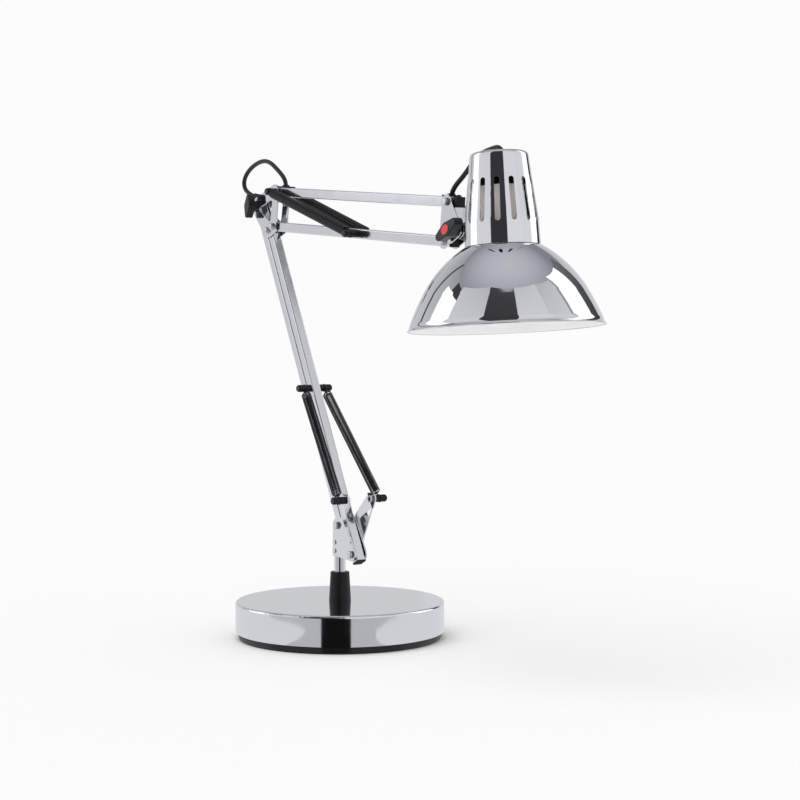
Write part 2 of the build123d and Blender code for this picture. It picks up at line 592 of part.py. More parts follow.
def make_springs(start, y_start, end, y_end, name, tail=0.0):
    """A pair of coil springs between two bushes: the coils and the eye at each end.

    A spring that stretches a lot has its last coils, tail long, as solids of their own."""
    run = Vector(end[0] - start[0], y_end - y_start, end[1] - start[1])
    length = run.length
    direction = run.normalized()
    coil = coil_barrel(start, y_start, direction, HOOK_STEM, length - HOOK_STEM)
    if tail:
        cutter = Plane(origin=(start[0], y_start, start[1]), z_dir=direction)
        cut = cutter * Pos(0, 0, length - HOOK_STEM - tail / 2) * Cylinder(2 * SPRING_RADIUS, tail)
        last = coil & cut
        coil -= cut
        save(group(last, mirrored(last)), f"{name}_tails")
    hook = eye(start, y_start) + stem(start, y_start, direction, 4.0, HOOK_STEM + STEM_IN_COIL)
    far = eye(end, y_end) + stem(end, y_end, -direction, 4.0, HOOK_STEM + STEM_IN_COIL)
    save(group(coil, mirrored(coil), hook, mirrored(hook)), f"{name}_coils")
    save(group(far, mirrored(far)), f"{name}_eyes")


# ---- head ----
def make_head_bracket():
    """Two plates on the upper arm's end bolts, with the knob that clamps the head's tilt."""
    corners = [HIGH_END, LOW_END, TILT]
    plate = slab(outline([(x, z, BORDER - 1) for x, z in corners]), -PLATE_OUT, -PLATE_IN)
    for point in corners:
        plate -= rod(point, -PLATE_OUT - 1, -PLATE_IN + 1, BOLT_RADIUS + SLIP)
    save(plate, "head_plate_front")
    save(mirrored(plate), "head_plate_rear")
    plain = [through_bolt(point, -PLATE_OUT - 2.0) for point in (HIGH_END, LOW_END)]
    tilt_bolt = through_bolt(TILT, -PLATE_OUT - HEAD_KNOB_DEPTH * 0.6)
    save(group(tilt_bolt, *plain), "head_bolts")
    save(group(cap_nut(HIGH_END), cap_nut(LOW_END)), "head_nuts")
    save(washers((HIGH_END, LOW_END, TILT)), "head_washers")
    knob = wing_knob(TILT, HEAD_WING_ANGLE, HEAD_WING, HEAD_KNOB_DEPTH, 7.0, 4.0)
    knob -= rod(TILT, -PLATE_OUT - HEAD_KNOB_DEPTH * 0.6 - GAP, 0, BOLT_RADIUS + RUN)
    front = -PLATE_OUT - GAP / 2 - HEAD_KNOB_DEPTH
    oval = Pos(*TILT) * Rot(0, 0, HEAD_WING_ANGLE) * Ellipse(INLAY_LONG, INLAY_WIDE)
    knob -= slab(oval, front - 1, front + 1.2)
    save(knob, "head_knob")
    inlay = Pos(*TILT) * Rot(0, 0, HEAD_WING_ANGLE) * Ellipse(INLAY_LONG - SLIP, INLAY_WIDE - SLIP)
    save(slab(inlay, front - 0.5, front + 1.2), "head_knob_cap")


head_frame = Pos(RIM_X, 0, RIM_Z) * Rot(0, -HEAD_TILT, 0)


def cup_radius(height):
    """The cup's outer radius at a height above its lower edge."""
    stations = ((0.0, CUP_FOOT_RADIUS), (23.0, CUP_FOOT_RADIUS - 0.9),
                (63.0, CUP_TOP_RADIUS + 2.3), (CUP_HEIGHT, CUP_TOP_RADIUS))
    for (low, wide), (high, narrow) in zip(stations, stations[1:]):
        if height <= high:
            return wide + (narrow - wide) * (height - low) / (high - low)
    return CUP_TOP_RADIUS


def cup_solid(shrink, height):
    """The cup's outer form, made smaller by shrink, with a rounded top edge."""
    levels = (0.0, 23.0, 63.0, height)
    points = [(0, 0)] + [(cup_radius(level) - shrink, level) for level in levels] + [(0, height)]
    body = revolve(Plane.XZ * make_face(Polyline(*points, (0, 0))), Axis.Z)
    edge = body.edges().filter_by(GeomType.CIRCLE).sort_by(Axis.Z)[-1]
    return fillet(edge, 4.0 - shrink)


def make_head():
    """Shade, cooling cup, lampholder and the hinge bracket that carries them."""
    cup = cup_solid(0.0, CUP_HEIGHT) - cup_solid(CUP_WALL, CUP_HEIGHT - CUP_WALL)
    slot_sketch = SlotOverall(SLOT_HIGH - SLOT_LOW, SLOT_WIDTH, rotation=90)
    slot_sketch = Pos(0, (SLOT_LOW + SLOT_HIGH) / 2) * slot_sketch
    slot = extrude(Plane.YZ * slot_sketch, CUP_FOOT_RADIUS + 5)
    for index in range(SLOT_COUNT):
        cup -= Rot(0, 0, SLOT_START + index * 360 / SLOT_COUNT) * slot
    cup -= Pos(INLET_AHEAD, 0, CUP_HEIGHT) * Cylinder(CABLE_RADIUS + GROMMET_WALL + SLIP, 6)
    hinge = cup_bracket()
    save(head_frame * Pos(0, 0, CUP_LOW) * cup, "cooling_cup")
    save(hinge, "cup_bracket")

    grommet_radius = CABLE_RADIUS + GROMMET_WALL
    grommet = Pos(0, 0, -0.5) * Cylinder(grommet_radius, 3.4)
    grommet += Pos(0, 0, 0.6) * Cylinder(grommet_radius + 1.6, 1.2)
    grommet -= Cylinder(CABLE_RADIUS + LEAD_PLAY, 12)
    save(head_frame * Pos(INLET_AHEAD, 0, CUP_LOW + CUP_HEIGHT) * grommet, "cup_grommet")

    body = Pos(0, 0, SHADE_HEIGHT + HOLDER_LENGTH / 2) * Cylinder(HOLDER_RADIUS, HOLDER_LENGTH)
    body += Pos(0, 0, SHADE_HEIGHT - NECK_LENGTH / 2) * Cylinder(NECK_RADIUS, NECK_LENGTH)
    socket_depth = SOCKET_TOP - SHADE_HEIGHT + NECK_LENGTH
    body -= Pos(0, 0, SOCKET_TOP - socket_depth / 2) * Cylinder(THREAD_RADIUS + 0.8, socket_depth)
    save(head_frame * body, "lampholder_body")
    sleeve = Cylinder(THREAD_RADIUS + 0.7, SHELL_LENGTH) - Cylinder(THREAD_RADIUS, SHELL_LENGTH + 2)
    save(head_frame * Pos(0, 0, SHELL_MID) * sleeve, "lampholder_shell")
    contact = Cylinder(4.5, CONTACT_HEIGHT)
    save(head_frame * Pos(0, 0, SOCKET_TOP - CONTACT_HEIGHT / 2) * contact, "lampholder_contact")
    cap_top = SHADE_HEIGHT + HOLDER_LENGTH + HOLDER_CAP
    cap = Pos(0, 0, cap_top - HOLDER_CAP / 2) * Cone(HOLDER_RADIUS, HOLDER_CAP_RADIUS, HOLDER_CAP)
    cap -= Pos(INLET_AHEAD, 0, cap_top) * Cylinder(CABLE_RADIUS + LEAD_PLAY, HOLDER_CAP)
    save(head_frame * cap, "lampholder_cap")

    save(head_frame * shade_solid(), "shade")
    ring_low = SHADE_HEIGHT - SHADE_WALL - COLLAR_HEIGHT
    collar = Cylinder(HOLDER_RADIUS + COLLAR_RIM, COLLAR_HEIGHT)
    collar -= Cylinder(NECK_RADIUS + SLIP, COLLAR_HEIGHT + 2)
    save(head_frame * Pos(0, 0, ring_low + COLLAR_HEIGHT / 2) * collar, "shade_ring")


def dome(side, down):
    """The space under the shade's outer curve, moved inwards by side and down."""
    drop = 6.0
    seat_radius = CUP_FOOT_RADIUS + 1.0

    def moved(radius, height):
        return (radius - side, height - down)

    def share(point):
        return moved(seat_radius + point[0] * (RIM_RADIUS - seat_radius), point[1] * SHADE_HEIGHT)

    seat = moved(seat_radius, SHADE_HEIGHT)
    shoulder = share(SHADE_SHOULDER)
    hem = moved(RIM_RADIUS - HEM_IN, HEM_UP)
    mouth = moved(RIM_RADIUS, RIM_UP)
    face = make_face(
        Line((0, seat[1]), seat)
        + ThreePointArc(seat, share(SHADE_BULGE), shoulder)
        + ThreePointArc(shoulder, share(SHADE_SKIRT), hem)
        + ThreePointArc(hem, moved(RIM_RADIUS - LIP_IN, LIP_UP), mouth)
        + Polyline(mouth, (mouth[0], -drop), (0, -drop), (0, seat[1]))
    )
    return revolve(Plane.XZ * face, Axis.Z)


def shade_solid():
    """The spun dome with a flat seat for the cup and an outward lip at the mouth."""
    shell = dome(0.0, 0.0) - dome(0.8 * SHADE_WALL, 0.95 * SHADE_WALL)
    shell -= Pos(0, 0, -RIM_RADIUS) * Box(3 * RIM_RADIUS, 3 * RIM_RADIUS, 2 * RIM_RADIUS)
    return shell - Pos(0, 0, SHADE_HEIGHT) * Cylinder(NECK_RADIUS + 4 * SLIP, 10)


def cup_bracket():
    """A folded bracket: two ears on the tilt bolt and a strip up the cup's side."""
    ear_in = TUBE / 2 - SHEET
    web_x = TILT[0] + CUP_STANDOFF - STRAP_BACK
    reach = STRAP_HEIGHT / 2 - 2
    corners = [(web_x - 2, TILT[1] + reach, 2), (web_x - 2, TILT[1] - reach, 2)]
    ear = slab(outline([(TILT[0], TILT[1], BORDER), *corners]), -TUBE / 2, -ear_in)
    web = Pos(web_x, 0, TILT[1]) * Box(SHEET, TUBE, STRAP_HEIGHT)
    bracket = ear + mirrored(ear) + web
    return bracket - rod(TILT, -TUBE, TUBE, BOLT_RADIUS + RUN)


def cable(points, node):
    """A round lead along points (x, z) in the arm plane, straight runs joined by tangent arcs."""
    radii = []
    for before, here, after in zip(points, points[1:], points[2:]):
        run_in = Vector(here[0] - before[0], 0, here[1] - before[1])
        run_out = Vector(after[0] - here[0], 0, after[1] - here[1])
        turn = radians(run_in.get_angle(run_out))
        radii.append(0.45 * min(run_in.length, run_out.length) / tan(turn / 2))
    print(node, "bend radii", [round(radius, 1) for radius in radii])
    route = FilletPolyline(*[(x, 0, z) for x, z in points], radius=radii)
    section = Plane(origin=route @ 0, z_dir=route % 0) * Circle(CABLE_RADIUS)
    lead = sweep(section, path=route)
    print(node, "length", round(route.length, 1), "volume error",
          round(lead.volume / (pi * CABLE_RADIUS ** 2 * route.length) - 1, 5))
    save(lead, node)


def make_cables():
    """The elbow's loop and the lead over the cup, each from its exit to its inlet."""
    start, way = spout_place()
    leave = along(start, way, SPOUT_LENGTH - LEAD_IN_SPOUT)
    inlet = along(HIGH_ROOT, upper_dir, ROOT_INLET)
    inlet = along(inlet, (sin(radians(UPPER_SLOPE)), cos(radians(UPPER_SLOPE))), TUBE / 2 - TUBE_WALL)
    middle = [(leave[0] + x, leave[1] + z) for x, z in LOOP_BACK]
    middle += [(inlet[0] + x, inlet[1] + z) for x, z in LOOP_OVER]
    cable([leave, *middle, inlet], "elbow_cable")

    leave = along(HIGH_END, upper_dir, -END_INLET)
    leave = along(leave, (sin(radians(UPPER_SLOPE)), cos(radians(UPPER_SLOPE))), TUBE / 2 - TUBE_WALL)
    cap_top = SHADE_HEIGHT + HOLDER_LENGTH + HOLDER_CAP
    inlet = (head_frame * Pos(INLET_AHEAD, 0, cap_top - LEAD_IN_CAP)).position
    middle = [(leave[0] + x, leave[1] + z) for x, z in LEAD_OUT]
    middle += [(inlet.X + x, inlet.Z + z) for x, z in LEAD_OVER]
    cable([leave, *middle, (inlet.X, inlet.Z)], "head_cable")


socket_floor = make_base()
make_post(socket_floor)
make_lower_bracket()
make_lower_arm()
make_elbow()
make_upper_arm()
make_springs(ANCHOR, -ANCHOR_Y, LOWER_PIN, -PIN_EYE_Y, "lower_spring")
make_springs(HIGH_ROOT, -ROOT_EYE_Y, UPPER_PIN, -PIN_EYE_Y, "upper_spring", 9.0)
make_head_bracket()
make_head()
make_cables()
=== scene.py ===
"""Dresses the swing arm desk lamp: studio, finishes, springs, leads, shade and cup."""

import json
import logging
import math
from collections.abc import Callable, Iterable, Sequence
from dataclasses import dataclass, replace
from enum import Enum

import bpy
from mathutils import Matrix, Vector

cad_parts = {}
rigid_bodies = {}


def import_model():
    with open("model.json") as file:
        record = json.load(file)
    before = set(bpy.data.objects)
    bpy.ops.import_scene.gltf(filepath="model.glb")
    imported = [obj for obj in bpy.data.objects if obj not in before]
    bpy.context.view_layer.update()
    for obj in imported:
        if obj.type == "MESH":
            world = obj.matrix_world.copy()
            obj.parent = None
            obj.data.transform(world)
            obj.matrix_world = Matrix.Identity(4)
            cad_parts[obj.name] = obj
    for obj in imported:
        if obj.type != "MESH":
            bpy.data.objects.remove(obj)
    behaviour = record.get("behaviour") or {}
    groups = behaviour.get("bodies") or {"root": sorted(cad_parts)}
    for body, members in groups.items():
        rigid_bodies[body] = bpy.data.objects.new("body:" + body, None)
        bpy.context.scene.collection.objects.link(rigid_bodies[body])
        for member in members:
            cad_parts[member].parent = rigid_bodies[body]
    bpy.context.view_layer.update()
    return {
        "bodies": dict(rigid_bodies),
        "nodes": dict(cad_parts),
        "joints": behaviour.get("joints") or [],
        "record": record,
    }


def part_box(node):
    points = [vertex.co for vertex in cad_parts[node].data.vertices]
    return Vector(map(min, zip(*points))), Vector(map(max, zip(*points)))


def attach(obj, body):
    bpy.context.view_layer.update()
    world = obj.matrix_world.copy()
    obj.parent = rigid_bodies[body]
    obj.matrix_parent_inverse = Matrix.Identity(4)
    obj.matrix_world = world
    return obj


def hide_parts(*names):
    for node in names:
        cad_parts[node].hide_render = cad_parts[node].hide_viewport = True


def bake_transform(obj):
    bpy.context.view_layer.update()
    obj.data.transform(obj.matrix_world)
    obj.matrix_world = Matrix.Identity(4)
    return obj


LOG = logging.getLogger("desk_lamp")

Point = tuple[float, float, float]
Colour = tuple[float, float, float]
Faces = list[tuple[int, ...]]
Mesh = tuple[list[Vector], Faces]
Outline = list[tuple[float, float]]
MM = 0.001
FULL_TURN = 2 * math.pi
WHITE = (1.0, 1.0, 1.0, 1.0)


class Slot(Enum):
    """The record's material slots, passed with each new piece but not applied."""

    SHEET = "chrome_sheet"
    SPRING = "black_spring"
    JACKET = "cable_jacket"


# ---- node trees ----
class Sketch:
    """A material's node tree, built a node at a time."""

    def __init__(self, name: str) -> None:
        """Starts a material whose only shader is a principled one.

        Args:
            name: The material's name.
        """
        self.material = bpy.data.materials.new(name)
        self.material.use_nodes = True
        self.tree = self.material.node_tree
        self.shader = self.tree.nodes["Principled BSDF"]
        self.local = self.node("ShaderNodeTexCoord").outputs["Object"]

    def node(self, kind: str, inputs: dict | None = None, **settings) -> bpy.types.Node:
        """Adds a node.

        Args:
            kind: The node's type name.
            inputs: Values or output sockets for its inputs, by name or number.
            settings: Properties of the node itself.

        Returns:
            The new node.
        """
        made = self.tree.nodes.new(kind)
        for key, value in settings.items():
            setattr(made, key, value)
        for key, value in (inputs or {}).items():
            self.feed(made.inputs[key], value)
        return made

    def feed(self, socket: bpy.types.NodeSocket, value: object) -> None:
        """Links an output to a socket, or sets the socket's own value.

        Args:
            socket: The input to feed.
            value: Another node's output, or a plain value.
        """
        if isinstance(value, bpy.types.NodeSocket):
            self.tree.links.new(value, socket)
        else:
            socket.default_value = value

    def set(self, **values: object) -> None:
        """Feeds the shader's sockets, whose names have underscores for spaces."""
        for key, value in values.items():
            self.feed(self.shader.inputs[key.replace("_", " ")], value)

    def colour(self, rgb: Colour) -> None:
        """Sets one colour all over."""
        self.set(Base_Color=(*rgb, 1.0))

    def noise(self, scale: float, detail: float = 3.0,
              stretch: Point | None = None) -> bpy.types.NodeSocket:
        """Adds a noise texture in the object's own space.

        Args:
            scale: Blobs in a metre.
            detail: Finer layers of noise.
            stretch: Scale along each axis, where the noise is drawn out.

        Returns:
            The noise value's output.
        """
        place = self.local
        if stretch:
            place = self.node("ShaderNodeMapping", {"Vector": self.local, "Scale": stretch}).outputs[0]
        inputs = {"Vector": place, "Scale": scale, "Detail": detail}
        return self.node("ShaderNodeTexNoise", inputs).outputs["Fac"]

    def span(self, value: bpy.types.NodeSocket, low: float, high: float,
             start: float = 0.3, end: float = 0.7) -> bpy.types.NodeSocket:
        """Maps start to end of a value onto low to high."""
        inputs = {"Value": value, "From Min": start, "From Max": end, "To Min": low, "To Max": high}
        return self.node("ShaderNodeMapRange", inputs).outputs[0]

    def blend(self, value: bpy.types.NodeSocket, first: Colour, second: Colour) -> bpy.types.NodeSocket:
        """Mixes two colours by a value.

        Args:
            value: The share of the second colour.
            first: The colour at 0.
            second: The colour at 1.

        Returns:
            The mixed colour's output.
        """
        mix = self.node("ShaderNodeMix", data_type="RGBA")
        self.feed(mix.inputs["Factor"], value)
        self.feed(mix.inputs["A"], (*first, 1.0))
        self.feed(mix.inputs["B"], (*second, 1.0))
        return mix.outputs["Result"]

    def bump(self, height: bpy.types.NodeSocket, depth: float,
             under: bpy.types.NodeSocket | None = None) -> bpy.types.NodeSocket:
        """Turns a height into a normal.

        Args:
            height: The height's output, 0 to 1.
            depth: What a height of 1 is, in metres.
            under: A normal that this one lies on.

        Returns:
            The normal's output.
        """
        inputs = {"Height": height, "Distance": depth}
        if under is not None:
            inputs["Normal"] = under
        return self.node("ShaderNodeBump", inputs).outputs[0]

    def soft_edge(self, radius: float) -> bpy.types.NodeSocket:
        """A normal that rounds sharp edges by a radius in metres."""
        return self.node("ShaderNodeBevel", {"Radius": radius}, samples=4).outputs[0]


# ---- finishes ----
@dataclass(frozen=True)
class Chrome:
    """Polished chrome plate with faint polishing haze and fine ripples."""

    name: str
    tint: Colour = (0.80, 0.81, 0.83)
    gloss: tuple[float, float] = (0.03, 0.075)
    haze_scale: float = 38.0
    ripple: float = 0.0000012
    ripple_scale: float = 160.0
    edge: float = 0.0003

    def build(self) -> bpy.types.Material:
        """Builds the material.

        Returns:
            The material.
        """
        sketch = Sketch(self.name)
        sketch.colour(self.tint)
        haze = sketch.noise(self.haze_scale, detail=5.0)
        rounded = sketch.soft_edge(self.edge)
        wave = sketch.noise(self.ripple_scale, detail=2.0)
        sketch.set(Metallic=1.0, Roughness=sketch.span(haze, *self.gloss),
                   Normal=sketch.bump(wave, self.ripple, under=rounded))
        return sketch.material


@dataclass(frozen=True)
class Moulded:
    """Moulded plastic with a fine spark grain."""

    name: str
    low: Colour
    high: Colour
    gloss: tuple[float, float] = (0.34, 0.46)
    grain: float = 0.00003
    grain_scale: float = 1500.0
    cloud_scale: float = 45.0
    edge: float = 0.0003
    coat: float = 0.0
    shine: float = 0.5

    def build(self) -> bpy.types.Material:
        """Builds the material.

        Returns:
            The material.
        """
        sketch = Sketch(self.name)
        cloud = sketch.noise(self.cloud_scale, detail=4.0)
        grain = sketch.noise(self.grain_scale, detail=2.0)
        sketch.set(Base_Color=sketch.blend(sketch.span(cloud, 0.0, 1.0), self.low, self.high),
                   Roughness=sketch.span(grain, *self.gloss),
                   Coat_Weight=self.coat, Specular_IOR_Level=self.shine,
                   Normal=sketch.bump(grain, self.grain, under=sketch.soft_edge(self.edge)))
        return sketch.material


@dataclass(frozen=True)
class DrawnWire:
    """Black lacquer on drawn wire or a turned pin: dark, with a sharp shine."""

    name: str
    low: Colour = (0.004, 0.004, 0.005)
    high: Colour = (0.009, 0.009, 0.010)
    metal: float = 0.0
    index: float = 1.5
    gloss: tuple[float, float] = (0.16, 0.26)
    cloud_scale: float = 220.0
    grain: float = 0.00001
    grain_scale: float = 2500.0

    def build(self) -> bpy.types.Material:
        """Builds the material.

        Returns:
            The material.
        """
        sketch = Sketch(self.name)
        cloud = sketch.noise(self.cloud_scale, detail=4.0)
        sketch.set(Base_Color=sketch.blend(sketch.span(cloud, 0.0, 1.0), self.low, self.high),
                   Metallic=self.metal, IOR=self.index, Roughness=sketch.span(cloud, *self.gloss),
                   Normal=sketch.bump(sketch.noise(self.grain_scale, detail=2.0), self.grain))
        return sketch.material


@dataclass(frozen=True)
class Jacket:
    """The smooth jacket of a round lead, with a slight waviness along it."""

    name: str
    low: Colour = (0.008, 0.008, 0.009)
    high: Colour = (0.015, 0.015, 0.016)
    gloss: tuple[float, float] = (0.33, 0.43)
    shine: float = 0.35
    wave_scale: float = 90.0
    grain: float = 0.00002
    grain_scale: float = 900.0

    def build(self) -> bpy.types.Material:
        """Builds the material.

        Returns:
            The material.
        """
        sketch = Sketch(self.name)
        wave = sketch.noise(self.wave_scale)
        sketch.set(Base_Color=sketch.blend(sketch.span(wave, 0.0, 1.0), self.low, self.high),
                   Roughness=sketch.span(wave, *self.gloss), Specular_IOR_Level=self.shine,
                   Normal=sketch.bump(sketch.noise(self.grain_scale, detail=2.0), self.grain))
        return sketch.material


@dataclass(frozen=True)
class Casting:
    """Rough cast iron."""

    name: str
    low: Colour = (0.05, 0.05, 0.05)
    high: Colour = (0.13, 0.12, 0.12)
    metal: float = 0.6
    gloss: tuple[float, float] = (0.55, 0.8)
    grain: float = 0.0003
    grain_scale: float = 400.0

    def build(self) -> bpy.types.Material:
        """Builds the material.

        Returns:
            The material.
        """
        sketch = Sketch(self.name)
        rough = sketch.noise(self.grain_scale, detail=8.0)
        sketch.set(Base_Color=sketch.blend(rough, self.low, self.high), Metallic=self.metal,
                   Roughness=sketch.span(rough, *self.gloss), Normal=sketch.bump(rough, self.grain))
        return sketch.material


@dataclass(frozen=True)
class RolledBrass:
    """Rolled brass with drawing lines round it and a little tarnish."""

    name: str
    fresh: Colour = (0.80, 0.62, 0.30)
    dull: Colour = (0.50, 0.36, 0.16)
    tarnish_scale: float = 120.0
    gloss: tuple[float, float] = (0.2, 0.4)
    line_scale: float = 300.0
    line_stretch: Point = (0.2, 0.2, 6.0)
    line_depth: float = 0.00002

    def build(self) -> bpy.types.Material:
        """Builds the material.

        Returns:
            The material.
        """
        sketch = Sketch(self.name)
        tarnish = sketch.noise(self.tarnish_scale, detail=6.0)
        lines = sketch.noise(self.line_scale, stretch=self.line_stretch)
        patches = sketch.span(tarnish, 0.0, 1.0, start=0.4, end=0.8)
        sketch.set(Base_Color=sketch.blend(patches, self.fresh, self.dull), Metallic=1.0,
                   Roughness=sketch.span(tarnish, *self.gloss), Normal=sketch.bump(lines, self.line_depth))
        return sketch.material


@dataclass(frozen=True)
class Enamel:
    """The white stoved enamel inside the shade, with a faint orange peel."""

    name: str
    low: Colour = (0.93, 0.93, 0.92)
    high: Colour = (0.97, 0.97, 0.96)
    gloss: tuple[float, float] = (0.28, 0.36)
    cloud_scale: float = 25.0
    peel: float = 0.00003
    peel_scale: float = 700.0

    def build(self) -> bpy.types.Material:
        """Builds the material.

        Returns:
            The material.
        """
        sketch = Sketch(self.name)
        cloud = sketch.noise(self.cloud_scale, detail=4.0)
        peel = sketch.noise(self.peel_scale, detail=2.0)
        sketch.set(Base_Color=sketch.blend(sketch.span(cloud, 0.0, 1.0), self.low, self.high),
                   Roughness=sketch.span(peel, *self.gloss), Normal=sketch.bump(peel, self.peel))
        return sketch.material


class Finish(Enum):
    """Every finish on the lamp."""

    SHEET = Chrome("polished_chrome_sheet")
    DRUM = Chrome("polished_chrome_drum", gloss=(0.05, 0.10), haze_scale=16.0, edge=0.0001)
    SHADE = Chrome("polished_chrome_shade", gloss=(0.02, 0.05), haze_scale=14.0, edge=0.0001)
    TUBE = Chrome("polished_chrome_tube", gloss=(0.09, 0.16), haze_scale=70.0)
    BLACKED = DrawnWire("blackened_steel", (0.030, 0.030, 0.032), (0.055, 0.055, 0.058), 0.6)
    FASTENER = Chrome("nickel_fastener", tint=(0.74, 0.73, 0.71), gloss=(0.14, 0.26), haze_scale=500.0)
    PLASTIC = Moulded("black_plastic", (0.005, 0.005, 0.006), (0.010, 0.010, 0.011), shine=0.27)
    FOOT = Moulded("foot_plastic", (0.008, 0.008, 0.009), (0.015, 0.015, 0.016), gloss=(0.4, 0.55),
                   shine=0.35)
    KNOB = Moulded("knob_plastic", (0.009, 0.009, 0.010), (0.018, 0.018, 0.019), gloss=(0.28, 0.38),
                   shine=0.45)
    RED = Moulded("red_inlay", (0.60, 0.020, 0.025), (0.72, 0.040, 0.040), gloss=(0.2, 0.3),
                  grain=0.00001, coat=0.4)
    HOLDER = Moulded("beige_moulding", (0.88, 0.79, 0.75), (0.94, 0.87, 0.83), gloss=(0.5, 0.65))
    WIRE = DrawnWire("black_spring_wire")
    JACKET = Jacket("lead_jacket")
    IRON = Casting("cast_iron")
    BRASS = RolledBrass("rolled_brass")
    ENAMEL = Enamel("white_enamel")


class Palette:
    """Builds each finish once and hands out its material."""

    def __init__(self) -> None:
        """Starts with nothing built."""
        self.made: dict[Finish, bpy.types.Material] = {}

    def material(self, finish: Finish) -> bpy.types.Material:
        """The material of a finish, built at its first use.

        Args:
            finish: The finish wanted.

        Returns:
            Its material.
        """
        if finish not in self.made:
            self.made[finish] = finish.value.build()
        return self.made[finish]

    def dress(self, piece: bpy.types.Object, finish: Finish) -> None:
        """Puts one finish on the whole of a piece."""
        piece.data.materials.clear()
        piece.data.materials.append(self.material(finish))


# ---- mesh making ----
def mesh_piece(name: str, points: Sequence[Point], faces: Sequence[Sequence[int]]) -> bpy.types.Object:
    """Makes a smooth-shaded mesh object.

    Args:
        name: The piece's name.
        points: The vertices, in metres in the lamp's frame.
        faces: Vertex numbers of each face.

    Returns:
        The new object, linked to the scene.
    """
    mesh = bpy.data.meshes.new(name)
    mesh.from_pydata([tuple(point) for point in points], [], faces)
    mesh.validate()
    mesh.shade_smooth()
    piece = bpy.data.objects.new(name, mesh)
    bpy.context.scene.collection.objects.link(piece)
    return piece


def grid_faces(rows: int, columns: int, closed: bool = True) -> Faces:
    """Quads over rows of points, each row a ring where closed.

    Args:
        rows: How many rows of points.
        columns: Points in a row.
        closed: Whether the last point of a row joins the first.

    Returns:
        The faces.
    """
    faces = []
    for row in range(rows - 1):
        for column in range(columns if closed else columns - 1):
            after = (column + 1) % columns
            low, high = row * columns, (row + 1) * columns
            faces.append((low + column, low + after, high + after, high + column))
    return faces


def tube_mesh(line: Sequence[Vector], radius: float, sides: int) -> Mesh:
    """A round tube along a line, with flat ends.

    Args:
        line: Points down the middle.
        radius: The tube's radius.
        sides: Points round the tube.

    Returns:
        The points and the faces.
    """
    points: list[Vector] = []
    normal = None
    for index, here in enumerate(line):
        ahead = line[min(index + 1, len(line) - 1)] - line[max(index - 1, 0)]
        ahead.normalize()
        if normal is None:
            normal = ahead.orthogonal().normalized()
        normal = (normal - ahead * normal.dot(ahead)).normalized()
        across = ahead.cross(normal)
        for side in range(sides):
            angle = FULL_TURN * side / sides
            points.append(here + radius * (math.cos(angle) * normal + math.sin(angle) * across))
    faces = grid_faces(len(line), sides)
    last = (len(line) - 1) * sides
    faces.append(tuple(range(sides - 1, -1, -1)))
    faces.append(tuple(range(last, last + sides)))
    return points, faces


def joined(parts: Iterable[Mesh]) -> Mesh:
    """Several sets of points and faces as one.

    Args:
        parts: The meshes to join.

    Returns:
        All the points and all the faces.
    """
    points, faces = [], []
    for some_points, some_faces in parts:
        start = len(points)
        points.extend(some_points)
        faces.extend(tuple(number + start for number in face) for face in some_faces)
    return points, faces


def smooth_line(route: Sequence[Point], steps: int = 12) -> list[Vector]:
    """The points of one smooth spline whose control points are the route's.

    Args:
        route: Points chosen along the lead, in metres.
        steps: Points for each run of the route.

    Returns:
        Points along the spline.
    """
    data = bpy.data.curves.new("route", "CURVE")
    data.dimensions = "3D"
    data.resolution_u = steps
    spline = data.splines.new("NURBS")
    spline.points.add(len(route) - 1)
    for point, place in zip(spline.points, route):
        point.co = (*place, 1.0)
    spline.order_u = 3
    spline.use_endpoint_u = True
    holder = bpy.data.objects.new("route", data)
    mesh = bpy.data.meshes.new_from_object(holder)
    line = [vertex.co.copy() for vertex in mesh.vertices]
    bpy.data.meshes.remove(mesh)
    bpy.data.objects.remove(holder)
    bpy.data.curves.remove(data)
    return line


def joint_place(frame: dict, name: str) -> Vector:
    """The place of a joint, in metres."""
    found = next(joint for joint in frame["joints"] if joint["name"] == name)
    return Vector(found["pos_m"])


def middle_of(node: str) -> Vector:
    """The middle of a node's box."""
    low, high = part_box(node)
    return (low + high) / 2


def mirror_point(point: Vector) -> Vector:
    """The same place on the other side of the arm plane."""
    return Vector((point.x, -point.y, point.z))


# ---- studio ----
@dataclass(frozen=True)
class Card:
    """A tall curved panel that only polished surfaces see, its edges given in degrees."""

    name: str
    left: float
    right: float
    low: float
    high_left: float
    high_right: float
    level_low: float
    level_high: float
    tint: Colour = (1.0, 1.0, 1.0)
    distance: float = 6.0


@dataclass(frozen=True)
class FlatCard:
    """A flat panel near the lamp that only polished surfaces see, as corners in metres."""

    name: str
    level: float
    corners: tuple[Point, ...]


@dataclass(frozen=True)
class GroundCard:
    """A panel just over the floor that only polished surfaces see.

    Its corners are (towards the camera, to the camera's right), in metres.
    """

    name: str
    level: float
    height: float
    corners: tuple[tuple[float, float], ...]


